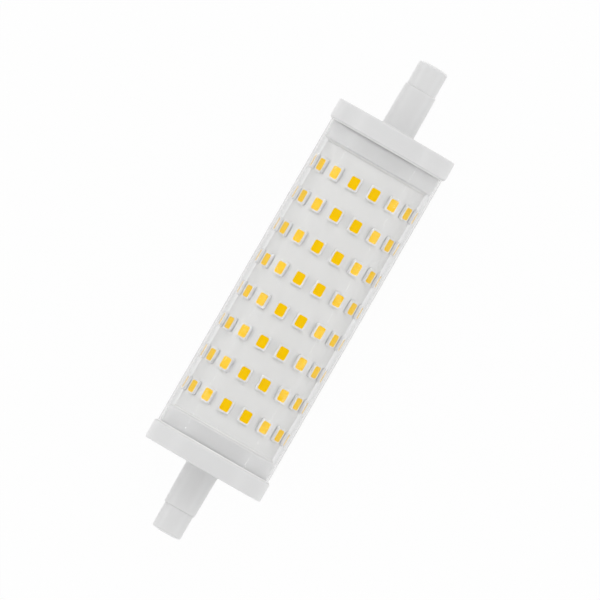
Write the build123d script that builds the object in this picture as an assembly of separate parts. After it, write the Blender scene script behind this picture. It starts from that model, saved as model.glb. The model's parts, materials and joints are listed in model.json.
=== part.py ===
from build123d import *
import math
import os

# Linear LED lamp with a recessed single contact at each end, in millimetres.
# The lamp's axis is X and the origin is its centre. The seam of the LED board faces -Z.
# Lengths along the axis are measured outward from the centre, and both ends are alike.

# Lengths along the axis
overall_length = 118.0
base_length = 6.1
stem_length = 10.1
flange_thickness = 4.5
end_wall = 1.5
collar_length = 4.5
board_end_gap = 0.5
spreader_seat_depth = 3.7
tube_end_clearance = 0.1
sleeve_end_clearance = 0.2

# Clear tube and the flange that holds it
tube_outer_diameter = 27.9
tube_wall = 0.5
tube_fit_clearance = 0.05
skirt_wall = 0.5
flange_edge_radius = 0.35
collar_clearance = 0.1
collar_edge_radius = 0.6
collar_mouth_radius = 0.2
skirt_lip_radius = 0.2

# Stem, with the draft that lets it leave its mould
stem_root_diameter = 7.8
stem_draft_angle = 0.75
stem_root_rounding = 0.4
stem_end_rounding = 0.2
stem_bore_diameter = 5.0

# Stop ribs inside the cap
rib_count = 6
rib_thickness = 1.0
rib_inner_diameter = 12.0

# Insulating base sleeve and its contact recess
base_diameter = 7.0
base_crown_height = 0.3
base_corner_radius = 0.45
plug_length = 7.0
plug_clearance = 0.05
plug_edge_radius = 0.3
recess_diameter = 3.8
recess_depth = 1.7
recess_edge = 0.15
contact_head_diameter = 3.2
contact_head_thickness = 0.6
contact_head_clearance = 0.05
contact_shank_diameter = 2.0
contact_shank_length = 3.4
contact_shank_clearance = 0.05
contact_edge_radius = 0.12

# LED packages and their pattern
led_length = 3.5
led_width = 2.8
led_height = 0.7
window_length = 2.7
window_width = 2.1
window_corner = 0.35
window_depth = 0.35
window_recess = 0.02
row_count = 8
row_edge_margin = 3.55
column_count = 16
led_tube_clearance = 0.45
solder_gap = 0.03

# Rolled LED board, aluminium spreader and insulating sleeve
board_thickness = 0.3
board_seam_width = 1.4
adhesive_gap = 0.05
spreader_wall = 1.0
spreader_fit_clearance = 0.1
sleeve_wall = 0.6
sleeve_clearance = 0.1

# Driver board and the wires
driver_board_thickness = 1.0
driver_board_drop = 3.0
driver_board_end_clearance = 0.8
driver_board_edge_clearance = 0.12
driver_end_margin = 5.0
supply_lead_diameter = 1.2
supply_lead_lap = 3.4
supply_lead_inset = 0.6
output_lead_diameter = 0.8
output_lead_inset = 1.8
lead_hole_clearance = 0.5

# Driver components: length along X, width along Y, height above the board
component_standoff = 0.05
leg_thickness = 0.6
fuse_diameter = 3.2
fuse_length = 9.0
fuse_leg_reach = 1.4
fuse_height = 0.6
varistor_diameter = 7.5
varistor_thickness = 3.8
varistor_leg_length = 1.2
rectifier_size = (4.7, 3.9, 2.4)
film_size = (5.5, 12.0, 9.0)
film_edge_radius = 0.5
choke_diameter = 7.0
choke_height = 8.0
choke_flange_thickness = 1.2
choke_winding_diameter = 6.0
bulk_diameter = 10.0
bulk_length = 13.0
bulk_bead_depth = 0.45
bulk_bead_offset = 2.2
bulk_edge_radius = 0.6
chip_size = (4.9, 3.9, 1.5)
chip_leg_count = 4
chip_leg_pitch = 1.27
gull_wing_reach = 1.05
gull_wing_thickness = 0.25
gull_wing_width = 0.45
gull_wing_bite = 0.3
diode_size = (4.3, 2.6, 2.1)
sense_size = (3.2, 1.6, 0.6)
sense_spacing = 0.9
inductor_size = (10.0, 11.0, 9.0)
inductor_core_thickness = 2.2
inductor_bobbin_flange = 1.0
inductor_coil_inset = 0.8

# Stations along the axis, from the middle outward
half_length = overall_length / 2
stem_end = half_length - base_length
flange_outer_face = stem_end - stem_length
flange_inner_face = flange_outer_face - flange_thickness
socket_floor = flange_outer_face - end_wall
collar_end = flange_inner_face - collar_length
board_end = collar_end - board_end_gap
spreader_end = collar_end + spreader_seat_depth
recess_floor = half_length - recess_depth

# Radii, from the tube inward
tube_outer_radius = tube_outer_diameter / 2
tube_inner_radius = tube_outer_radius - tube_wall
socket_radius = tube_outer_radius + tube_fit_clearance
flange_radius = socket_radius + skirt_wall
collar_radius = tube_inner_radius - collar_clearance
led_top_radius = math.sqrt((tube_inner_radius - led_tube_clearance) ** 2 - (led_width / 2) ** 2)
board_radius = led_top_radius - led_height - solder_gap
board_inner_radius = board_radius - board_thickness
spreader_radius = board_inner_radius - adhesive_gap
spreader_inner_radius = spreader_radius - spreader_wall
sleeve_radius = spreader_inner_radius - sleeve_clearance
sleeve_inner_radius = sleeve_radius - sleeve_wall
collar_bore_radius = spreader_radius + spreader_fit_clearance
stem_root_outer_radius = stem_root_diameter / 2
stem_end_outer_radius = stem_root_outer_radius - stem_length * math.tan(math.radians(stem_draft_angle))
stem_bore_radius = stem_bore_diameter / 2
plug_radius = stem_bore_radius - plug_clearance
base_radius = base_diameter / 2
recess_radius = recess_diameter / 2
shank_radius = contact_shank_diameter / 2
shank_end = recess_floor - contact_head_thickness - contact_shank_length

# Rows of LED packages
board_length = 2 * board_end
first_row = row_edge_margin + led_length / 2 - board_end
row_pitch = -2 * first_row / (row_count - 1)
column_step = 360 / column_count

# Driver board inside the sleeve
driver_top = -driver_board_drop
driver_bottom = driver_top - driver_board_thickness
driver_board_length = 2 * (spreader_end - sleeve_end_clearance - driver_board_end_clearance)
driver_edge_radius = sleeve_inner_radius - driver_board_edge_clearance
driver_board_width = 2 * math.sqrt(driver_edge_radius**2 - driver_bottom**2)
output_lead_place = board_end - output_lead_inset


def turned(points):
    """Solid turned about the lamp's axis from corners given as (x, radius, corner rounding)."""
    outline = make_face(Polyline([(x, radius) for x, radius, _ in points], close=True))
    for x, radius, rounding in points:
        if rounding:
            corner = outline.vertices().sort_by_distance((x, radius, 0))[0]
            outline = fillet(corner, rounding)
    return revolve(outline, Axis.X)


def ring(outer_radius, inner_radius, length):
    """Tube of a length centred on the origin, along the lamp's axis."""
    tube = Cylinder(outer_radius, length) - Cylinder(inner_radius, length)
    return Rot(0, 90, 0) * tube


def make_clear_tube():
    """Clear tube that runs from one flange's socket floor to the other's."""
    return ring(tube_outer_radius, tube_inner_radius, 2 * (socket_floor - tube_end_clearance))


def make_end_cap():
    """Moulded cap of the +X end: flange with a socket groove, collar, stop ribs and drafted hollow stem."""
    shell = turned([
        (collar_end, collar_bore_radius, collar_mouth_radius),
        (collar_end, collar_radius, collar_edge_radius),
        (socket_floor, collar_radius, 0),
        (socket_floor, socket_radius, 0),
        (flange_inner_face, socket_radius, 0),
        (flange_inner_face, flange_radius, skirt_lip_radius),
        (flange_outer_face, flange_radius, flange_edge_radius),
        (flange_outer_face, stem_root_outer_radius, stem_root_rounding),
        (stem_end, stem_end_outer_radius, stem_end_rounding),
        (stem_end, stem_bore_radius, 0),
        (socket_floor, stem_bore_radius, 0),
        (socket_floor, collar_bore_radius, 0),
    ])
    rib_inner_radius = rib_inner_diameter / 2
    rib_span = collar_bore_radius - rib_inner_radius
    rib_depth = socket_floor - spreader_end
    wall_bite = (collar_radius - collar_bore_radius) / 2
    rib = Pos(
        spreader_end + (rib_depth + end_wall / 2) / 2,
        rib_inner_radius + (rib_span + wall_bite) / 2,
        0,
    ) * Box(rib_depth + end_wall / 2, rib_span + wall_bite, rib_thickness)
    for index in range(rib_count):
        shell += Rot(360 * index / rib_count, 0, 0) * rib
    return shell


def make_base_sleeve():
    """Insulating sleeve of the +X end, plugged into the stem, with the contact recess in its crowned face."""
    head_seat_radius = contact_head_diameter / 2 + contact_head_clearance
    head_seat_floor = recess_floor - contact_head_thickness
    shank_hole_radius = shank_radius + contact_shank_clearance
    return turned([
        (stem_end - plug_length, shank_hole_radius, 0),
        (stem_end - plug_length, plug_radius, plug_edge_radius),
        (stem_end, plug_radius, 0),
        (stem_end, base_radius, 0),
        (half_length - base_crown_height, base_radius, base_corner_radius),
        (half_length, recess_radius + recess_edge, 0),
        (half_length - recess_edge, recess_radius, 0),
        (recess_floor, recess_radius, 0),
        (recess_floor, head_seat_radius, 0),
        (head_seat_floor, head_seat_radius, 0),
        (head_seat_floor, shank_hole_radius, 0),
    ])


def make_contact():
    """Contact stud of the +X end: a flat head flush with the recess floor, and a shank."""
    head_radius = contact_head_diameter / 2
    head_back = recess_floor - contact_head_thickness
    return turned([
        (shank_end, 0, 0),
        (shank_end, shank_radius, 0),
        (head_back, shank_radius, 0),
        (head_back, head_radius, 0),
        (recess_floor, head_radius, contact_edge_radius),
        (recess_floor, 0, 0),
    ])


def bend_radii(points):
    """Largest bend at each inner point of a wire's route that its two runs allow."""
    radii = []
    for before, here, after in zip(points, points[1:], points[2:]):
        run_in = Vector(*here) - Vector(*before)
        run_out = Vector(*after) - Vector(*here)
        turn = math.radians(run_in.get_angle(run_out))
        radii.append(0.45 * min(run_in.length, run_out.length) / math.tan(turn / 2))
    return radii


def make_supply_lead():
    """Insulated wire of the +X end, from the contact's shank to its lap joint on the driver board."""
    lap_height = driver_top + supply_lead_diameter / 2 + component_standoff
    lap_start = driver_board_length / 2 - supply_lead_inset
    route = [
        (shank_end, 0, 0),
        (flange_outer_face, 0, 0),
        (lap_start, 0, lap_height),
        (lap_start - supply_lead_lap, 0, lap_height),
    ]
    radii = bend_radii(route)
    print("supply lead bend radii", [round(value, 1) for value in radii])
    path = FilletPolyline(*route, radius=radii)
    section = Plane(origin=path @ 0, z_dir=path % 0) * Circle(supply_lead_diameter / 2)
    return sweep(section, path)


def make_led_board():
    """Printed board rolled round the spreader, open at its seam."""
    roll = ring(board_radius, board_inner_radius, board_length)
    seam = Pos(0, 0, -board_radius) * Box(board_length, board_seam_width, board_radius)
    return roll - seam


def lead_holes(radius):
    """Radial holes at the back for the output wires."""
    hole = Pos(0, 0, -tube_inner_radius / 2) * Cylinder(radius, tube_inner_radius)
    return Compound(children=[Pos(side * output_lead_place, 0, 0) * hole for side in (-1, 1)])


def make_heat_spreader():
    """Aluminium tube under the LED board, seated in the collars at both ends."""
    tube = ring(spreader_radius, spreader_inner_radius, 2 * spreader_end)
    return tube - lead_holes(output_lead_diameter / 2 + lead_hole_clearance)


def make_insulating_sleeve():
    """Thin sleeve that keeps the driver clear of the metal tube."""
    tube = ring(sleeve_radius, sleeve_inner_radius, 2 * (spreader_end - sleeve_end_clearance))
    return tube - lead_holes(output_lead_diameter / 2 + lead_hole_clearance)


def make_driver_board():
    """Flat printed board whose long edges rest in the sleeve."""
    middle = (driver_top + driver_bottom) / 2
    return Pos(0, 0, middle) * Box(driver_board_length, driver_board_width, driver_board_thickness)


def make_output_lead(side):
    """Wire from the driver board's underside to the seam of the LED board."""
    length = board_radius + driver_bottom
    middle = driver_bottom - length / 2
    return Pos(side * output_lead_place, 0, middle) * Cylinder(output_lead_diameter / 2, length)


def window_outline():
    """Window outline with its corners cut."""
    half_x = window_length / 2
    half_y = window_width / 2
    cut = window_corner
    corners = [
        (half_x, half_y - cut), (half_x - cut, half_y), (cut - half_x, half_y), (-half_x, half_y - cut),
        (-half_x, cut - half_y), (cut - half_x, -half_y), (half_x - cut, -half_y), (half_x, cut - half_y),
    ]
    return make_face(Polyline(corners, close=True))


def make_led_body():
    """White package of one LED, with the pocket for its window, standing on z = 0."""
    block = Pos(0, 0, led_height / 2) * Box(led_length, led_width, led_height)
    pocket = extrude(Pos(0, 0, led_height - window_depth) * window_outline(), window_depth)
    return block - pocket


def make_led_window():
    """Phosphor window that fills the pocket to just under the rim."""
    floor = led_height - window_depth
    return extrude(Pos(0, 0, floor) * window_outline(), window_depth - window_recess)


def led_ring(piece, row):
    """Copies of one LED piece round the board, at one row."""
    x = first_row + row * row_pitch
    seat = Pos(x, 0, board_radius + solder_gap) * piece
    return Compound(children=[Rot(column_step * (n + 0.5), 0, 0) * seat for n in range(column_count)])


def leg(x, y, height):
    """Straight leg from the board up to a height."""
    return Pos(x, y, height / 2) * Box(leg_thickness, leg_thickness, height)


def gull_wing(side, x, body_half_width, height):
    """Bent flat leg of a surface-mounted part, on one side of its body."""
    thickness = gull_wing_thickness
    inner = body_half_width - gull_wing_bite
    knee = body_half_width + gull_wing_reach / 2
    outer = body_half_width + gull_wing_reach
    outline = Polyline([
        (inner, height), (inner, height - thickness), (knee - thickness, height - thickness),
        (knee - thickness, 0), (outer, 0), (outer, thickness), (knee, thickness), (knee, height),
    ], close=True)
    strip = extrude(Plane.YZ * make_face(outline), gull_wing_width / 2, both=True)
    if side < 0:
        strip = mirror(strip, Plane.XZ)
    return Pos(x, 0, 0) * strip


def surface_mounted(size, leg_places):
    """Moulded block on bent legs that leave both its long sides."""
    length, width, height = size
    part = Pos(0, 0, height / 2 + component_standoff) * Box(length, width, height)
    for x in leg_places:
        for side in (-1, 1):
            part += gull_wing(side, x, width / 2, height / 2)
    return part


def make_fuse_resistor():
    """Axial resistor across the board, on two bent legs."""
    height = fuse_diameter / 2 + component_standoff + fuse_height
    body = Pos(0, 0, height) * Rot(90, 0, 0) * Cylinder(fuse_diameter / 2, fuse_length)
    reach = fuse_length / 2 + fuse_leg_reach
    wire = Pos(0, 0, height) * Box(leg_thickness, 2 * reach, leg_thickness)
    ends = [leg(0, side * (reach - leg_thickness / 2), height) for side in (-1, 1)]
    return body + wire + ends[0] + ends[1]


def make_varistor():
    """Disc that stands on edge across the board."""
    centre = varistor_leg_length + varistor_diameter / 2
    disc = Pos(0, 0, centre) * Rot(0, 90, 0) * Cylinder(varistor_diameter / 2, varistor_thickness)
    spread = varistor_diameter / 3
    return disc + leg(0, -spread, centre) + leg(0, spread, centre)


def make_bridge_rectifier():
    """Small four-legged rectifier block."""
    return surface_mounted(rectifier_size, [-rectifier_size[0] / 4, rectifier_size[0] / 4])


def make_film_capacitor():
    """Boxed capacitor with rounded upright edges."""
    length, width, height = film_size
    box = Pos(0, 0, height / 2 + component_standoff) * Box(length, width, height)
    return fillet(box.edges().filter_by(Axis.Z), film_edge_radius)


def make_filter_choke():
    """Drum core with its winding, upright."""
    drum = Pos(0, 0, choke_height / 2) * Cylinder(choke_winding_diameter / 2, choke_height)
    flange = Cylinder(choke_diameter / 2, choke_flange_thickness)
    for height in (choke_flange_thickness / 2, choke_height - choke_flange_thickness / 2):
        drum += Pos(0, 0, height) * flange
    return Pos(0, 0, component_standoff) * drum


def make_bulk_capacitor():
    """Electrolytic can that lies along the board, with the bead near its sealed end."""
    radius = bulk_diameter / 2
    half = bulk_length / 2
    bead = half - bulk_bead_offset
    can = turned([
        (-half, 0, 0),
        (-half, radius, bulk_edge_radius),
        (bead - bulk_bead_depth, radius, 0),
        (bead, radius - bulk_bead_depth, 0),
        (bead + bulk_bead_depth, radius, 0),
        (half, radius, bulk_edge_radius),
        (half, 0, 0),
    ])
    return Pos(0, 0, radius + component_standoff) * can


def make_driver_chip():
    """Eight-legged control chip."""
    places = [(n - (chip_leg_count - 1) / 2) * chip_leg_pitch for n in range(chip_leg_count)]
    return surface_mounted(chip_size, places)


def make_freewheel_diode():
    """Two-ended block diode."""
    length, width, height = diode_size
    return Pos(0, 0, height / 2 + component_standoff) * Box(length, width, height)


def make_sense_resistors():
    """Pair of chip resistors side by side."""
    length, width, height = sense_size
    chip = Pos(0, 0, height / 2 + component_standoff) * Box(length, width, height)
    offset = (width + sense_spacing) / 2
    return Compound(children=[Pos(0, -offset, 0) * chip, Pos(0, offset, 0) * chip])


def make_power_inductor():
    """Bobbin-wound inductor with its core frame round the coil."""
    length, width, height = inductor_size
    window_across = width - 2 * inductor_core_thickness
    window_height = height - 2 * inductor_core_thickness
    core = Box(length, width, height)
    core -= Box(length, window_across, window_height)
    coil_height = window_height - 2 * inductor_bobbin_flange
    coil = Rot(0, 90, 0) * Cylinder(coil_height / 2, length - 2 * inductor_coil_inset)
    flange = Box(inductor_bobbin_flange, window_across, window_height)
    part = core + coil
    for side in (-1, 1):
        part += Pos(side * (length - inductor_bobbin_flange) / 2, 0, 0) * flange
    return Pos(0, 0, height / 2 + component_standoff) * part


def lateral_places(widths):
    """Lateral places of components that stand side by side, spread evenly across the driver board."""
    gap = (driver_board_width - sum(widths)) / (len(widths) + 1)
    places = []
    edge = driver_board_width / 2
    for width in widths:
        places.append(edge - gap - width / 2)
        edge -= gap + width
    return places


def driver_components():
    """Components in their order along the board, spread evenly between its end margins."""
    stations = [
        {"fuse_resistor": make_fuse_resistor()},
        {"varistor": make_varistor(), "bridge_rectifier": make_bridge_rectifier()},
        {"film_capacitor": make_film_capacitor()},
        {"filter_choke": make_filter_choke()},
        {"bulk_capacitor": make_bulk_capacitor()},
        {
            "driver_chip": make_driver_chip(),
            "freewheel_diode": make_freewheel_diode(),
            "sense_resistors": make_sense_resistors(),
        },
        {"power_inductor": make_power_inductor()},
    ]
    lengths = [max(shape.bounding_box().size.X for shape in station.values()) for station in stations]
    room = driver_board_length - 2 * driver_end_margin - sum(lengths)
    gap = room / (len(stations) - 1)
    print("gap between driver components", round(gap, 2))
    placed = {}
    x = driver_end_margin - driver_board_length / 2
    for station, length in zip(stations, lengths):
        widths = [shape.bounding_box().size.Y for shape in station.values()]
        for (name, shape), lane in zip(station.items(), lateral_places(widths)):
            placed[name] = Pos(x + length / 2, lane, driver_top) * shape
        x += length + gap
    return placed


def at_both_ends(name, shape):
    """The piece of the +X end and its mirror image at the -X end."""
    return {f"{name}_right": shape, f"{name}_left": mirror(shape, Plane.YZ)}


nodes = {
    "clear_tube": make_clear_tube(),
    "led_board": make_led_board(),
    "heat_spreader": make_heat_spreader(),
    "insulating_sleeve": make_insulating_sleeve(),
    "driver_board": make_driver_board(),
    "output_lead_positive": make_output_lead(1),
    "output_lead_negative": make_output_lead(-1),
}
nodes.update(at_both_ends("end_cap", make_end_cap()))
nodes.update(at_both_ends("base_sleeve", make_base_sleeve()))
nodes.update(at_both_ends("contact", make_contact()))
nodes.update(at_both_ends("supply_lead", make_supply_lead()))
nodes.update(driver_components())

led_body = make_led_body()
led_window = make_led_window()
for row in range(row_count):
    nodes[f"led_bodies_ring_{row + 1}"] = led_ring(led_body, row)
    nodes[f"led_windows_ring_{row + 1}"] = led_ring(led_window, row)

os.makedirs("parts", exist_ok=True)
for name, shape in nodes.items():
    export_step(shape, f"parts/{name}.step")
print("nodes", len(nodes), "rows", row_count)
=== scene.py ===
# %% [markdown]
# The lamp as a fixed frame
#
# This lesson dresses a double-ended linear LED lamp. Its construction model comes in as a frame that stays
# where it is, and every visible piece is either given a better finish or replaced by a smoother mesh in the
# same place. The lamp's axis is X, and its right end is at +X.

# %% Load the frame
import json
import math
import bmesh
import bpy
from mathutils import Matrix, Vector


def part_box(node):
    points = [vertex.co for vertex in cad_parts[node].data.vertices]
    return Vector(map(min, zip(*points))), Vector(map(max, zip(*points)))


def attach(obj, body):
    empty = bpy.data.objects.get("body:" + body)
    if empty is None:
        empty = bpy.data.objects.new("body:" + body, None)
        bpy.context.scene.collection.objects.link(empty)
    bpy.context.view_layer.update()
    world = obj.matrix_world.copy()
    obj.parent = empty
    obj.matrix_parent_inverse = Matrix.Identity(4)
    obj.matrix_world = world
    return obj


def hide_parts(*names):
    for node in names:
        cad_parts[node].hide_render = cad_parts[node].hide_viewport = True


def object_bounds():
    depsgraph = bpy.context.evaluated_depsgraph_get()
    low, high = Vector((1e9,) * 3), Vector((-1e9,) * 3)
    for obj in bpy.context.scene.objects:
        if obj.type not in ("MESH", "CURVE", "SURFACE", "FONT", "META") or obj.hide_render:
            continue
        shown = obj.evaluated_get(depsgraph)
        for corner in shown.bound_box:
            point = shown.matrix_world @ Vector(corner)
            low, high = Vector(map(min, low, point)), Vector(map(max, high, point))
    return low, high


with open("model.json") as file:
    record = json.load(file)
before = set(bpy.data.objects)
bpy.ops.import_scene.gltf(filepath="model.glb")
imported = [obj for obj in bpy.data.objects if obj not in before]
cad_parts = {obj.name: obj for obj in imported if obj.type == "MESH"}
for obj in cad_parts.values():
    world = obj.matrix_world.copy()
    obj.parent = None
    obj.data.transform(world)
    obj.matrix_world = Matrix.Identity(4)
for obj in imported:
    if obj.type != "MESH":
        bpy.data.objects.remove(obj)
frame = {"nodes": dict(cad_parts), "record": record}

MM = 0.001
cad_bounds = [[float(value) for value in corner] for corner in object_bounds()]
print("frame bounds", cad_bounds)

# %% [markdown]
# The camera
#
# The picture to match is nearly without perspective, so the camera stands far off with a long lens. It looks
# straight down on the lamp, and is rolled so that the right end points up and to the right, thirty degrees
# from upright. The lens is worked out from the width that the picture shows.

# %% Set up the camera
picture_width_px = 600
pixels_per_mm = 4.565
camera_distance = 5.5
lean_from_upright = math.radians(30)
sensor_width_mm = 36

scene = bpy.context.scene
field_width = picture_width_px / pixels_per_mm * MM
camera_data = bpy.data.cameras.new("camera")
camera_data.sensor_width = sensor_width_mm
camera_data.lens = sensor_width_mm * camera_distance / field_width
camera_data.clip_start = 0.1
camera_data.clip_end = 100
camera = bpy.data.objects.new("camera", camera_data)
camera.location = (0, 0, camera_distance)
camera.rotation_euler = (0, 0, lean_from_upright - math.pi / 2)
scene.collection.objects.link(camera)
scene.camera = camera
scene.view_settings.view_transform = "Standard"
print("lens in mm", round(camera_data.lens))

# %% [markdown]
# Two small helpers for finishes
#
# Colours are written as they look on a screen, in hex, and one function turns them into the linear values
# that the renderer works with. One more adds a node with its settings and its links, which keeps each
# material short enough to read at a glance.

# %% Define the helpers
def linear(hex_colour):
    """Linear red, green, blue and alpha of an sRGB hex colour."""
    values = []
    for start in (0, 2, 4):
        value = int(hex_colour[start:start + 2], 16) / 255
        values.append(value / 12.92 if value <= 0.04045 else ((value + 0.055) / 1.055) ** 2.4)
    return (*values, 1.0)


def add_node(tree, kind, inputs=None, **settings):
    """New node of a kind, with its settings made and its inputs set or linked."""
    node = tree.nodes.new(kind)
    for name, value in settings.items():
        setattr(node, name, value)
    for name, value in (inputs or {}).items():
        socket = node.inputs[name]
        if isinstance(value, bpy.types.NodeSocket):
            tree.links.new(value, socket)
        else:
            socket.default_value = value
    return node


def empty_material(name):
    """New material with nothing in it but its output."""
    material = bpy.data.materials.new(name)
    material.use_nodes = True
    material.node_tree.nodes.clear()
    output = add_node(material.node_tree, "ShaderNodeOutputMaterial")
    return material, material.node_tree, output.inputs["Surface"]


print("helpers ready")

# %% [markdown]
# The floor
#
# The lamp lies on a pale, matt floor at the level of its lowest point. The floor is a plain grid of one face.

# %% Lay the floor
floor_size = 12.0
floor_level = cad_bounds[0][2]

floor_mesh = bpy.data.meshes.new("floor")
floor_shape = bmesh.new()
bmesh.ops.create_grid(floor_shape, x_segments=1, y_segments=1, size=floor_size / 2)
bmesh.ops.translate(floor_shape, verts=floor_shape.verts, vec=(0, 0, floor_level))
floor_shape.to_mesh(floor_mesh)
floor_shape.free()
floor = bpy.data.objects.new("floor", floor_mesh)
scene.collection.objects.link(floor)
print("floor at", floor_level)

# %% [markdown]
# A white that adds no light
#
# The picture's background is plain white. Strong lamps could make it white, but they would bleach the lamp too.
# So the floor and the world mix in a white that shows only where the camera, a mirror-like surface or the clear
# tube looks at them, and the Light Path node tells which ray that is. A ray that was scattered by a matt surface
# doesn't count. A ray that the tube's wall turns back once still does, and one that a small window mirrors
# through the tube doesn't: the product of its mirror and glass depths tells these two apart.

# %% Define where the white shows
mirrored_white_share = 0.8
scattered_weight = 10.0
depth_limit = 2.5


def seen_directly(tree):
    """One where the camera sees a surface, a little less by a mirror or the tube, and nought for its light."""
    path = add_node(tree, "ShaderNodeLightPath")
    mirrored = add_node(tree, "ShaderNodeMath", operation="MAXIMUM", inputs={
        0: path.outputs["Is Glossy Ray"],
        1: path.outputs["Is Transmission Ray"],
    })
    inside_tube = add_node(tree, "ShaderNodeMath", operation="MULTIPLY", inputs={
        0: path.outputs["Glossy Depth"],
        1: path.outputs["Transmission Depth"],
    })
    bounced = add_node(tree, "ShaderNodeMath", operation="MULTIPLY_ADD", inputs={
        0: path.outputs["Diffuse Depth"],
        1: scattered_weight,
        2: inside_tube.outputs["Value"],
    })
    unbounced = add_node(tree, "ShaderNodeMath", operation="LESS_THAN", inputs={
        0: bounced.outputs["Value"],
        1: depth_limit,
    })
    part_shown = add_node(tree, "ShaderNodeMath", operation="MULTIPLY", inputs={
        0: mirrored.outputs["Value"],
        1: mirrored_white_share,
    })
    shown = add_node(tree, "ShaderNodeMath", operation="MULTIPLY", inputs={
        0: part_shown.outputs["Value"],
        1: unbounced.outputs["Value"],
    })
    seen = add_node(tree, "ShaderNodeMath", operation="MAXIMUM", inputs={
        0: path.outputs["Is Camera Ray"],
        1: shown.outputs["Value"],
    })
    return seen.outputs["Value"]


print("white shows by mirrors at a share of", mirrored_white_share)

# %% [markdown]
# Matt floor paint
#
# A matt paint scatters light evenly, which a Diffuse surface does with no gloss at all. The white covers nearly
# all of it in the picture, and the small rest keeps the lamp's soft shadow.

# %% Paint the floor
floor_white_share = 0.97

floor_paint, tree, surface = empty_material("matt_floor_paint")
matt = add_node(tree, "ShaderNodeBsdfDiffuse", {"Color": linear("E0E0E0")})
white = add_node(tree, "ShaderNodeEmission", {"Color": (1, 1, 1, 1), "Strength": 1.0})
share = add_node(tree, "ShaderNodeMath", operation="MULTIPLY", inputs={
    0: seen_directly(tree),
    1: floor_white_share,
})
mixed = add_node(tree, "ShaderNodeMixShader", {
    0: share.outputs["Value"],
    1: matt.outputs["BSDF"],
    2: white.outputs["Emission"],
})
tree.links.new(mixed.outputs["Shader"], surface)
floor_mesh.materials.append(floor_paint)
print("floor painted")

# %% [markdown]
# A tent of pale cloth
#
# The world stands for a tent of pale cloth that lights the lamp evenly from all sides. It is a little darker
# straight above, where the tent is open, so the lamp's top is a touch darker than its sides. The direction's Z
# gives the angle from straight up, and a Map Range blends the opening's edge.

# %% Set up the world
tent_strength = 0.88
opening_strength = 0.7
opening_angle = math.radians(30)
opening_blur = math.radians(8)

world = bpy.data.worlds.new("pale_room")
world.use_nodes = True
world.node_tree.nodes.clear()
tree = world.node_tree
direction = add_node(tree, "ShaderNodeTexCoord")
parts = add_node(tree, "ShaderNodeSeparateXYZ", {"Vector": direction.outputs["Generated"]})
strength = add_node(tree, "ShaderNodeMapRange", {
    "Value": parts.outputs["Z"],
    "From Min": math.cos(opening_angle + opening_blur),
    "From Max": math.cos(opening_angle - opening_blur),
    "To Min": tent_strength,
    "To Max": opening_strength,
})
room = add_node(tree, "ShaderNodeBackground", {"Color": (1, 1, 1, 1), "Strength": strength.outputs["Result"]})
backdrop = add_node(tree, "ShaderNodeBackground", {"Color": (1, 1, 1, 1), "Strength": 1.0})
mixed = add_node(tree, "ShaderNodeMixShader", {
    0: seen_directly(tree),
    1: room.outputs["Background"],
    2: backdrop.outputs["Background"],
})
output = add_node(tree, "ShaderNodeOutputWorld", {"Surface": mixed.outputs["Shader"]})
scene.world = world
print("tent and opening strength", tent_strength, opening_strength)

# %% [markdown]
# Soft studio light
#
# Two long, narrow softboxes stand at the lamp's sides, parallel to its axis. They stand where the flat windows
# of one column of LEDs on each side mirror them, which makes those windows look paler than the rest, and they
# are narrow so that they add little light elsewhere. A third, weaker box hangs towards the picture's top edge
# and gives the packages their small shadows.

# %% Hang the softboxes
softbox_direction = math.radians(67.1)
softbox_distance = 0.9
softbox_length = 1.2
softbox_width = 0.035
left_radiance = 6.6
right_radiance = 6.4
top_direction = (0.6, 0.2, 0.75)
top_distance = 1.1
top_size = 0.45
top_radiance = 2.2


def add_softbox(name, direction, distance, length, width, radiance):
    """Softbox that faces the lamp's centre from a direction, its long side along the lamp's axis."""
    light = bpy.data.lights.new(name, "AREA")
    light.shape = "RECTANGLE"
    light.size = length
    light.size_y = width
    light.energy = radiance * math.pi * length * width
    softbox = bpy.data.objects.new(name, light)
    toward = Vector(direction).normalized()
    along = Vector((1, 0, 0))
    along = (along - along.dot(toward) * toward).normalized()
    turn = Matrix((along, toward.cross(along), toward)).transposed()
    softbox.matrix_world = Matrix.Translation(toward * distance) @ turn.to_4x4()
    softbox.visible_camera = False
    scene.collection.objects.link(softbox)
    return softbox


for name, side, radiance in (("softbox_left", 1, left_radiance), ("softbox_right", -1, right_radiance)):
    direction = (0, side * math.sin(softbox_direction), math.cos(softbox_direction))
    add_softbox(name, direction, softbox_distance, softbox_length, softbox_width, radiance)
add_softbox("softbox_top", top_direction, top_distance, top_size, top_size, top_radiance)

# %% [markdown]
# Moulded and plain finishes
#
# Most of the lamp is made of a few everyday materials. Each of these finishes is one Principled surface with
# a fine grain in its bump or roughness. The grain's scale is a size in millimetres, read from Object
# coordinates, so that it stays put when the view changes. The real grain of these skins is a few hundredths of
# a millimetre, and a pixel of the picture covers 0.22 mm. So the grain is drawn several times as coarse as it
# is, and even then it only softens the light a little.

# %% Define the grained finish
grain_detail = 2.0


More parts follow.
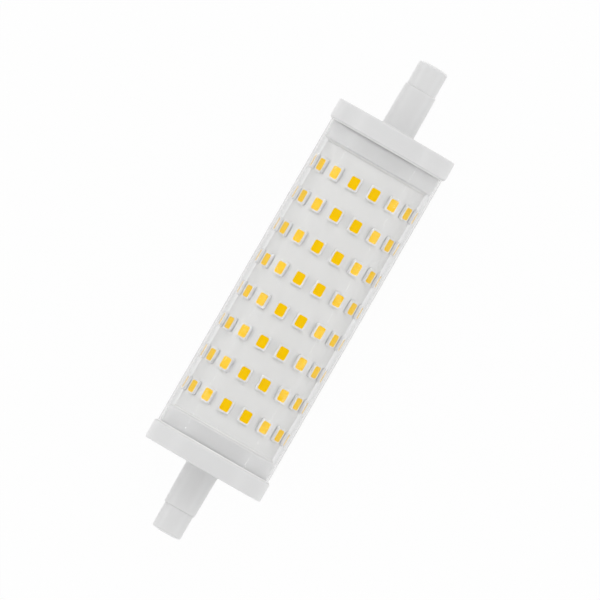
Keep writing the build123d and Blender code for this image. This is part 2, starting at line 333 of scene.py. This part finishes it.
def grained_finish(name, colour, roughness, grain_mm, bump, ior=1.5, metallic=0.0, roughness_swing=0.0):
    """Finish of one colour with a fine grain that lifts the surface, and varies its roughness when given a swing.
    """
    material, tree, surface = empty_material(name)
    place = add_node(tree, "ShaderNodeTexCoord")
    grain = add_node(tree, "ShaderNodeTexNoise", {
        "Vector": place.outputs["Object"],
        "Scale": 1 / (grain_mm * MM),
        "Detail": grain_detail,
    })
    shader = add_node(tree, "ShaderNodeBsdfPrincipled", {
        "Base Color": linear(colour),
        "Roughness": roughness,
        "Metallic": metallic,
    })
    if not metallic:
        shader.inputs["IOR"].default_value = ior
    if roughness_swing:
        spread = add_node(tree, "ShaderNodeMapRange", {
            "Value": grain.outputs["Fac"],
            "To Min": roughness - roughness_swing,
            "To Max": roughness + roughness_swing,
        })
        tree.links.new(spread.outputs["Result"], shader.inputs["Roughness"])
    relief = add_node(tree, "ShaderNodeBump", {
        "Height": grain.outputs["Fac"],
        "Distance": bump * MM,
    })
    tree.links.new(relief.outputs["Normal"], shader.inputs["Normal"])
    tree.links.new(shader.outputs["BSDF"], surface)
    return material, shader


print("grained finish ready")

# %% [markdown]
# Clear polycarbonate
#
# The outer tube is extruded clear polycarbonate. It bends the light that passes it, so the outer columns of
# LEDs look a little further out than they are. Its IOR is that of real polycarbonate. Light on its way from a
# lamp goes straight through instead, which keeps the LEDs inside clean and bright. The picture shows hardly any
# gloss on the tube, so the Specular Tint takes the gloss off it where it faces the eye, and what is left shows
# only at a slant.

# %% Make the clear polycarbonate
polycarbonate_ior = 1.585
tube_gloss = 0.0

clear_polycarbonate, tree, surface = empty_material("clear_polycarbonate")
shader = add_node(tree, "ShaderNodeBsdfPrincipled", {
    "Base Color": linear("FEFEFE"),
    "Roughness": 0.0,
    "IOR": polycarbonate_ior,
    "Transmission Weight": 1.0,
    "Specular Tint": (tube_gloss, tube_gloss, tube_gloss, 1.0),
})
straight_through = add_node(tree, "ShaderNodeBsdfTransparent", {"Color": (1, 1, 1, 1)})
path = add_node(tree, "ShaderNodeLightPath")
mixed = add_node(tree, "ShaderNodeMixShader", {
    0: path.outputs["Is Shadow Ray"],
    1: shader.outputs["BSDF"],
    2: straight_through.outputs["BSDF"],
})
tree.links.new(mixed.outputs["Shader"], surface)
print("clear polycarbonate ready")

# %% [markdown]
# White plastics and the solder mask
#
# The end caps and sleeves are moulded PBT: a satin skin, a touch paler at a slant, and edges that look soft
# because light goes a little way in. The LED packages are moulded PPA, whiter and as soft. The board wears a
# screen-printed solder mask that looks matt like paper, and smooth white silicone seals the board's ends. They
# differ more in brightness than in hue. Subsurface scatter makes the soft edges, and sheen the paler sides.

# %% Make the white finishes
moulded_pbt, moulded_shader = grained_finish("moulded_white_pbt", "DFDFDF", 0.3, 0.35, 0.003, ior=1.57)
sleeve_pbt, sleeve_shader = grained_finish("sleeve_white_pbt", "E0E0E0", 0.3, 0.3, 0.003, ior=1.57)
package_ppa, package_shader = grained_finish("led_package_ppa", "EDEDEE", 0.4, 0.1, 0.001)
scatter_depth_mm = 0.3
side_sheen = 0.9
side_sheen_roughness = 0.5
for shader in (moulded_shader, sleeve_shader, package_shader):
    shader.inputs["Subsurface Weight"].default_value = 1.0
    shader.inputs["Subsurface Radius"].default_value = (1, 1, 1)
    shader.inputs["Subsurface Scale"].default_value = scatter_depth_mm * MM
for shader in (moulded_shader, sleeve_shader):
    shader.inputs["Sheen Weight"].default_value = side_sheen
    shader.inputs["Sheen Roughness"].default_value = side_sheen_roughness
sealing_silicone, _ = grained_finish("white_sealing_silicone", "F4F4F3", 0.45, 0.6, 0.006, ior=1.41)
solder_mask, _ = grained_finish("white_solder_mask", "ECECEB", 0.6, 0.25, 0.003)
print("white finishes ready")

# %% [markdown]
# Phosphor in silicone
#
# Each window is a pool of poured silicone loaded with yellow phosphor. It is flat and glossy on top. The
# phosphor also turns a part of the room's blue light into yellow. A weak painted glow of its own stands for
# that: it shines the same under any light and makes the yellow a touch brighter than any paint of its colour
# could. Silicone has an IOR of about 1.41. The windows in the picture mirror less than that gives, so the IOR
# was lowered until they matched.

# %% Make the phosphor
silicone_ior = 1.22
# Painted glow: the windows give off this light of their own under any lamp, which brightens their yellow.
painted_phosphor_glow = 0.14
phosphor, shader = grained_finish("phosphor_silicone", "F4C500", 0.08, 0.08, 0.0005, ior=silicone_ior)
shader.inputs["Emission Color"].default_value = linear("FFC400")
shader.inputs["Emission Strength"].default_value = painted_phosphor_glow
print("phosphor ready")

# %% [markdown]
# Metals
#
# The spreader is extruded aluminium, left with its satin skin, which gives a broad, dull shine. The contact
# studs are brass with a nickel plating, turned on a lathe, so their faces carry fine rings round the lamp's axis
# and a brighter, warmer shine. Lathe rings are much finer than a pixel, so they are drawn 0.754 mm apart. A Wave
# texture of scale one has 20 radians of wave to the unit, and its scale follows from that.

# %% Make the metals
extruded_aluminium, _ = grained_finish(
    "extruded_aluminium", "F0F0F1", 0.6, 0.2, 0.002, metallic=1.0, roughness_swing=0.08)

nickel_plating, tree, surface = empty_material("nickel_plated_brass")
place = add_node(tree, "ShaderNodeTexCoord")
ring_spacing_mm = 0.754
ring_depth_mm = 0.004
wave_radians_per_unit = 20
rings = add_node(tree, "ShaderNodeTexWave", {
    "Vector": place.outputs["Object"],
    "Scale": 2 * math.pi / wave_radians_per_unit / (ring_spacing_mm * MM),
}, wave_type="RINGS", rings_direction="X")
shader = add_node(tree, "ShaderNodeBsdfPrincipled", {
    "Base Color": linear("CFC9BE"),
    "Roughness": 0.25,
    "Metallic": 1.0,
})
relief = add_node(tree, "ShaderNodeBump", {"Height": rings.outputs["Fac"], "Distance": ring_depth_mm * MM})
tree.links.new(relief.outputs["Normal"], shader.inputs["Normal"])
tree.links.new(shader.outputs["BSDF"], surface)
print("metals ready")

# %% [markdown]
# Finishes of the hidden driver
#
# Nothing of the driver shows from outside, but it is finished all the same: a satin green
# board of glass epoxy, dull black moulded chips, a smooth varistor dipped in blue epoxy, a glossy shrink sleeve
# on the can, a yellow capacitor box, dark and dry sintered ferrite, and wires in satin PVC.

# %% Make the driver's finishes
hidden_finishes = {
    "lead_insulation": grained_finish("white_pvc_insulation", "DEDEDA", 0.4, 0.3, 0.002)[0],
    "sleeve_plastic": grained_finish("natural_nylon_sleeve", "D6D4CC", 0.5, 0.4, 0.003)[0],
    "driver_laminate": grained_finish("green_glass_epoxy", "2C6B3A", 0.4, 0.5, 0.004)[0],
    "moulded_black": grained_finish("black_moulding_compound", "1E1F20", 0.6, 0.15, 0.004)[0],
    "fuse_body": grained_finish("green_fuse_ceramic", "6E9A82", 0.55, 0.2, 0.003)[0],
    "varistor_coating": grained_finish("blue_epoxy_coating", "23509A", 0.3, 0.6, 0.006)[0],
    "film_box": grained_finish("yellow_capacitor_box", "D8A822", 0.35, 0.3, 0.003)[0],
    "can_sleeve": grained_finish("black_shrink_sleeve", "26272A", 0.25, 0.5, 0.003)[0],
    "ferrite": grained_finish("sintered_ferrite", "3E3E40", 0.7, 0.15, 0.006)[0],
    "red_insulation": grained_finish("red_pvc_insulation", "B3201C", 0.4, 0.3, 0.002)[0],
    "black_insulation": grained_finish("black_pvc_insulation", "202022", 0.4, 0.3, 0.002)[0],
}
finishes = {
    "clear_plastic": clear_polycarbonate,
    "cap_plastic": moulded_pbt,
    "base_plastic": sleeve_pbt,
    "contact_metal": nickel_plating,
    "board_white": solder_mask,
    "spreader_metal": extruded_aluminium,
    "package_white": package_ppa,
    "phosphor": phosphor,
    **hidden_finishes,
}
slot_of_node = {part["node"]: part["material_slot"] for part in frame["record"]["subparts"]}
for node_name, cad_object in frame["nodes"].items():
    finish = finishes[slot_of_node[node_name]]
    for material_slot in cad_object.material_slots:
        material_slot.material = finish
print("nodes with a finish", len(frame["nodes"]))

# %% [markdown]
# Sizes of the new pieces
#
# The sizes below are the real ones, in millimetres. The places along the axis are read from the frame, so
# each smoother piece lands where the construction has its own.

# %% Read the frame
def node_span(node, axis):
    """Lowest and highest place of a node along one axis, in millimetres."""
    low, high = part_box(node)
    return low[axis] / MM, high[axis] / MM


half_length = node_span("base_sleeve_right", 0)[1]
collar_end, stem_end = node_span("end_cap_right", 0)
flange_radius = node_span("end_cap_right", 2)[1]
plug_end = node_span("base_sleeve_right", 0)[0]
base_radius = 3.5
tube_end = node_span("clear_tube", 0)[1]
tube_radius = node_span("clear_tube", 2)[1]
board_end = node_span("led_board", 0)[1]
board_radius = node_span("led_board", 2)[1]
spreader_end = node_span("heat_spreader", 0)[1]
spreader_radius = node_span("heat_spreader", 2)[1]
shank_end, recess_floor = node_span("contact_right", 0)
print("half length", half_length, "tube radius", tube_radius, "board radius", board_radius)

# %% [markdown]
# Turned pieces
#
# The tube, the caps, the sleeves and the contacts are all round about the lamp's axis. Each is a few corners
# of its cut face, spun once round, and its rounded corners are bevels of the edge loops that the corners
# leave. Many steps keep the outline smooth.

# %% Define the turned piece
turn_steps = 160
stud_steps = 64
merge_distance = 1e-7
sharp_edge_angle = math.radians(35)
bevel_steps = 4


def finish_piece(name, shape, slot, finish=None):
    """Object of a shape, riding on the lamp, with the finish that a slot names or one of its own."""
    bmesh.ops.remove_doubles(shape, verts=shape.verts, dist=merge_distance)
    bmesh.ops.recalc_face_normals(shape, faces=shape.faces)
    mesh = bpy.data.meshes.new(name)
    shape.to_mesh(mesh)
    shape.free()
    mesh.materials.append(finish or finishes[slot])
    mesh.shade_smooth()
    mesh.set_sharp_from_angle(angle=sharp_edge_angle)
    piece = bpy.data.objects.new(name, mesh)
    scene.collection.objects.link(piece)
    normals = piece.modifiers.new("flat_faces_first", "WEIGHTED_NORMAL")
    normals.keep_sharp = True
    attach(piece, "root")
    return piece


def turned_shape(corners, side=1, steps=turn_steps):
    """Shape turned about X from corners given as (x, radius, rounding) in millimetres."""
    shape = bmesh.new()
    points = [shape.verts.new((side * x * MM, 0, radius * MM)) for x, radius, _ in corners]
    outline = [
        shape.edges.new(pair) for pair in zip(points, points[1:] + points[:1])
        if any(abs(point.co.z) > 0 for point in pair)
    ]
    bmesh.ops.spin(shape, geom=points + outline, cent=(0, 0, 0), axis=(1, 0, 0),
                   angle=2 * math.pi, steps=steps, use_merge=True)
    bmesh.ops.remove_doubles(shape, verts=shape.verts, dist=merge_distance)
    near = 0.002 * MM
    for x, radius, rounding in corners:
        if not rounding:
            continue
        loop = [
            edge for edge in shape.edges
            if all(
                abs(vert.co.x - side * x * MM) < near
                and abs(math.hypot(vert.co.y, vert.co.z) - radius * MM) < near
                for vert in edge.verts
            )
        ]
        bmesh.ops.bevel(shape, geom=loop, offset=rounding * MM, offset_type="OFFSET",
                        affect="EDGES", segments=bevel_steps, profile=0.5, material=-1)
    return shape


print("turned pieces use", turn_steps, "steps")

# %% [markdown]
# The clear tube
#
# The tube is one thin wall from socket to socket, sawn square at its ends. Nothing is rounded on it, because
# a rounding would bend the normals all along its wall, and clear plastic shows the smallest bend.

# %% Turn the clear tube
tube_wall = 0.5
tube_shape = turned_shape([
    (-tube_end, tube_radius, 0),
    (tube_end, tube_radius, 0),
    (tube_end, tube_radius - tube_wall, 0),
    (-tube_end, tube_radius - tube_wall, 0),
])
tube = finish_piece("outer_tube", tube_shape, "clear_plastic")
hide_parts("clear_tube")
print("tube faces", len(tube.data.polygons))

# %% [markdown]
# The end caps
#
# Each cap is moulded in one piece: a flange whose groove takes the tube, a collar inside the tube, and a
# hollow stem that tapers a little towards its end. Small roundings catch the light along its edges, and the
# root of the stem runs into the flange through a fillet.

# %% Turn the end caps
flange_thickness = 4.5
end_wall = 1.5
stem_length = 10.1
stem_root_radius = 3.9
stem_end_radius = 3.77
stem_bore_radius = 2.5
collar_clearance = 0.1
tube_fit_clearance = 0.05
spreader_fit_clearance = 0.1
rib_count = 6
rib_thickness = 1.0
rib_inner_radius = 6.0

flange_outer_face = stem_end - stem_length
flange_inner_face = flange_outer_face - flange_thickness
socket_floor = flange_outer_face - end_wall
collar_radius = tube_radius - tube_wall - collar_clearance
collar_bore_radius = spreader_radius + spreader_fit_clearance
socket_radius = tube_radius + tube_fit_clearance


def add_stop_ribs(shape, side):
    """Radial ribs that stop the spreader inside a cap."""
    depth = socket_floor - spreader_end
    span = collar_bore_radius - rib_inner_radius
    middle = (side * (spreader_end + depth / 2) * MM, 0, (rib_inner_radius + span / 2) * MM)
    for index in range(rib_count):
        box = bmesh.ops.create_cube(shape, size=1.0)["verts"]
        bmesh.ops.scale(shape, verts=box, vec=(depth * MM, rib_thickness * MM, span * MM))
        bmesh.ops.translate(shape, verts=box, vec=middle)
        turn = Matrix.Rotation(2 * math.pi * index / rib_count, 3, "X")
        bmesh.ops.rotate(shape, verts=box, cent=(0, 0, 0), matrix=turn)


for side, end in ((-1, "left"), (1, "right")):
    cap_shape = turned_shape([
        (collar_end, collar_bore_radius, 0.2),
        (collar_end, collar_radius, 0.6),
        (socket_floor, collar_radius, 0),
        (socket_floor, socket_radius, 0),
        (flange_inner_face, socket_radius, 0.1),
        (flange_inner_face, flange_radius, 0.35),
        (flange_outer_face, flange_radius, 0.35),
        (flange_outer_face, stem_root_radius, 0.4),
        (stem_end, stem_end_radius, 0.15),
        (stem_end, stem_bore_radius, 0),
        (socket_floor, stem_bore_radius, 0),
        (socket_floor, collar_bore_radius, 0),
    ], side)
    add_stop_ribs(cap_shape, side)
    cap = finish_piece(f"cap_shell_{end}", cap_shape, "cap_plastic")
    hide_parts(f"end_cap_{end}")
print("cap faces", len(cap.data.polygons))

# %% [markdown]
# The base sleeves and their contacts
#
# A thinner sleeve is plugged into each stem, with a small fillet where it comes out. Its crowned face has a
# recess, and the head of the contact stud lies at the bottom of it. Both are turned shapes again.

# %% Turn the sleeves and the contacts
recess_radius = 1.9
head_radius = 1.6
head_thickness = 0.6
shank_radius = 1.0
seat_clearance = 0.05
crown_height = 0.3
recess_edge = 0.15
root_fillet = 0.12
fillet_run = 0.18

for side, end in ((-1, "left"), (1, "right")):
    sleeve_shape = turned_shape([
        (plug_end, shank_radius + seat_clearance, 0),
        (plug_end, stem_bore_radius - seat_clearance, 0.3),
        (stem_end, stem_bore_radius - seat_clearance, 0),
        (stem_end, base_radius + root_fillet, 0),
        (stem_end + fillet_run, base_radius, 0),
        (half_length - crown_height, base_radius, 0.4),
        (half_length, recess_radius + recess_edge, 0),
        (half_length - recess_edge, recess_radius, 0),
        (recess_floor, recess_radius, 0),
        (recess_floor, head_radius + seat_clearance, 0),
        (recess_floor - head_thickness, head_radius + seat_clearance, 0),
        (recess_floor - head_thickness, shank_radius + seat_clearance, 0),
    ], side)
    sleeve = finish_piece(f"contact_sleeve_{end}", sleeve_shape, "base_plastic")
    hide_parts(f"base_sleeve_{end}")
    contact_shape = turned_shape([
        (shank_end, 0, 0),
        (shank_end, shank_radius, 0.1),
        (recess_floor - head_thickness, shank_radius, 0),
        (recess_floor - head_thickness, head_radius, 0.05),
        (recess_floor, head_radius, 0.12),
        (recess_floor, 0, 0),
    ], side, steps=stud_steps)
    stud = finish_piece(f"contact_stud_{end}", contact_shape, "contact_metal")
    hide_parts(f"contact_{end}")
print("sleeve faces", len(sleeve.data.polygons))

# %% [markdown]
# The rolled LED board
#
# The board is a thin flexible sheet rolled round the spreader. Its two edges meet at a seam at the back, so
# it is spun from one lip of the seam to the other, starting from a face so that both lips are closed.

# %% Roll the LED board
board_thickness = 0.3
seam_width = 1.4

board_shape = bmesh.new()
half_gap = math.asin(seam_width / 2 / board_radius)
corners = [
    (x * MM, 0, -radius * MM)
    for x, radius in (
        (-board_end, board_radius), (board_end, board_radius),
        (board_end, board_radius - board_thickness), (-board_end, board_radius - board_thickness),
    )
]
lip = board_shape.faces.new([board_shape.verts.new(corner) for corner in corners])
bmesh.ops.rotate(board_shape, verts=board_shape.verts, cent=(0, 0, 0), matrix=Matrix.Rotation(half_gap, 3, "X"))
bmesh.ops.spin(board_shape, geom=[lip], cent=(0, 0, 0), axis=(1, 0, 0),
               angle=2 * (math.pi - half_gap), steps=turn_steps)
board = finish_piece("rolled_board", board_shape, "board_white")
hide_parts("led_board")
print("board faces", len(board.data.polygons))

# %% [markdown]
# The sealing beads
#
# A thin bead of white silicone closes the groove between each end of the board and the cap's collar. It is
# smoothed to a slope that climbs from the board to the collar's foot, and a hair of air on either side of it
# still shows as a faint line. A smaller fillet of the same silicone closes the mouth of the groove that takes
# the tube.

# %% Lay the sealing beads
bead_height = 0.33
bead_climb = 0.42
bead_gap = 0.02
fillet_size = 0.26

for side, end in ((-1, "left"), (1, "right")):
    bead_shape = turned_shape([
        (board_end + bead_gap, spreader_radius + bead_gap, 0),
        (board_end + bead_gap, spreader_radius + bead_height, 0.05),
        (collar_end - bead_gap, spreader_radius + bead_height + bead_climb, 0.05),
        (collar_end - bead_gap, spreader_radius + bead_gap, 0),
    ], side)
    bead = finish_piece(f"sealing_bead_{end}", bead_shape, "board_white", sealing_silicone)
    fillet_shape = turned_shape([
        (flange_inner_face - bead_gap, tube_radius + bead_gap / 2, 0),
        (flange_inner_face - bead_gap - fillet_size, tube_radius + bead_gap / 2, 0),
        (flange_inner_face - bead_gap, tube_radius + bead_gap / 2 + fillet_size, 0),
    ], side)
    fillet = finish_piece(f"sealing_fillet_{end}", fillet_shape, "board_white", sealing_silicone)
print("bead faces", len(bead.data.polygons), "fillet faces", len(fillet.data.polygons))

# %% [markdown]
# The LED packages and their windows
#
# A package is a small white block with a shallow cup, and the window fills the cup almost to its rim. Both
# could be cut from boxes, but their corners are rounded, and each level has its own radius. So each level is
# a flat outline whose corners are bevelled, and every two levels are bridged, which gives clean walls.

# %% Define the stacked shape
corner_steps = 3


def add_outline(shape, length, width, corner, height):
    """Adds a flat outline with rounded corners, in millimetres, and returns its edges and its face."""
    known_edges = set(shape.edges)
    known_faces = set(shape.faces)
    corners = bmesh.ops.create_grid(shape, x_segments=1, y_segments=1, size=0.5)["verts"]
    bmesh.ops.scale(shape, verts=corners, vec=(length * MM, width * MM, 1))
    bmesh.ops.translate(shape, verts=corners, vec=(0, 0, height * MM))
    bmesh.ops.bevel(shape, geom=corners, offset=corner * MM, offset_type="OFFSET",
                    affect="VERTICES", segments=corner_steps, profile=0.5, material=-1)
    edges = [edge for edge in shape.edges if edge not in known_edges]
    faces = [face for face in shape.faces if face not in known_faces]
    return edges, faces


def stacked_shape(levels):
    """Closed shape through outlines given as (length, width, corner, height), in millimetres."""
    shape = bmesh.new()
    outlines = [add_outline(shape, *level) for level in levels]
    for (lower, _), (upper, _) in zip(outlines, outlines[1:]):
        bmesh.ops.bridge_loops(shape, edges=lower + upper)
    inner_faces = [face for _, faces in outlines[1:-1] for face in faces]
    bmesh.ops.delete(shape, geom=inner_faces, context="FACES_ONLY")
    return shape


print("corners have", corner_steps, "steps")

# %% [markdown]
# Levels of a package and its window
#
# The package stands on a slightly narrower foot, which leaves a thin dark line on the board. Its walls rise to a
# chamfered rim, and the cup slopes down inside the rim. The rim's inner edge lies a hair lower than its top,
# because two outlines at one height would be bridged with a twist. The window starts just above the cup's floor
# and ends just below the rim.

# %% Set the levels
led_length = 3.5
led_width = 2.8
led_height = 0.7
foot_inset = 0.12
foot_height = 0.09
rim_chamfer = 0.07
rim_fall = 0.01
cup_length = 2.73
cup_width = 2.13
cup_slope = 0.1
cup_depth = 0.25
window_recess = 0.02
window_gap = 0.005
foot_corner = 0.3
wall_corner = 0.4
rim_corner = 0.35
cup_corner = 0.42
cup_floor_corner = 0.32
window_corner = 0.4

package_levels = [
    (led_length - 2 * foot_inset, led_width - 2 * foot_inset, foot_corner, 0),
    (led_length, led_width, wall_corner, foot_height),
    (led_length, led_width, wall_corner, led_height - rim_chamfer),
    (led_length - 2 * rim_chamfer, led_width - 2 * rim_chamfer, rim_corner, led_height),
    (cup_length, cup_width, cup_corner, led_height - rim_fall),
    (cup_length - 2 * cup_slope, cup_width - 2 * cup_slope, cup_floor_corner, led_height - cup_depth),
]
slope_at_window = cup_slope * window_recess / cup_depth + window_gap
window_levels = [
    (cup_length - 2 * cup_slope, cup_width - 2 * cup_slope, cup_floor_corner, led_height - cup_depth + window_gap),
    (cup_length - 2 * slope_at_window, cup_width - 2 * slope_at_window, window_corner, led_height - window_recess),
]
sample = stacked_shape(package_levels)
print("faces of one package", len(sample.faces))
sample.free()

# %% [markdown]
# Rings of LEDs
#
# One package and one window are made for each ring, set on the board at the first column, and spun round the
# axis with use_duplicate, which copies them instead of drawing walls between the steps. Each ring takes the
# place of the construction's ring of the same number.

# %% Spin the rings
column_count = 16
solder_gap = 0.03
ring_names = sorted(name for name in frame["nodes"] if name.startswith("led_bodies_ring_"))
column_step = 2 * math.pi / column_count


def ring_of(levels, middle):
    """Shape of one ring: stacked outlines on the board, copied round the axis at a station along it."""
    shape = stacked_shape(levels)
    bmesh.ops.recalc_face_normals(shape, faces=shape.faces)
    bmesh.ops.translate(shape, verts=shape.verts, vec=(middle * MM, 0, (board_radius + solder_gap) * MM))
    bmesh.ops.rotate(shape, verts=shape.verts, cent=(0, 0, 0), matrix=Matrix.Rotation(column_step / 2, 3, "X"))
    everything = list(shape.verts) + list(shape.edges) + list(shape.faces)
    bmesh.ops.spin(shape, geom=everything, cent=(0, 0, 0), axis=(1, 0, 0),
                   angle=column_step * (column_count - 1), steps=column_count - 1, use_duplicate=True)
    return shape


for ring_name in ring_names:
    number = ring_name.rsplit("_", 1)[1]
    middle = sum(node_span(ring_name, 0)) / 2
    packages = finish_piece(f"packages_{number}", ring_of(package_levels, middle), "package_white")
    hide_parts(ring_name)
    windows = finish_piece(f"windows_{number}", ring_of(window_levels, middle), "phosphor")
    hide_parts(f"led_windows_ring_{number}")
print("rings", len(ring_names), "faces in a ring", len(packages.data.polygons) + len(windows.data.polygons))
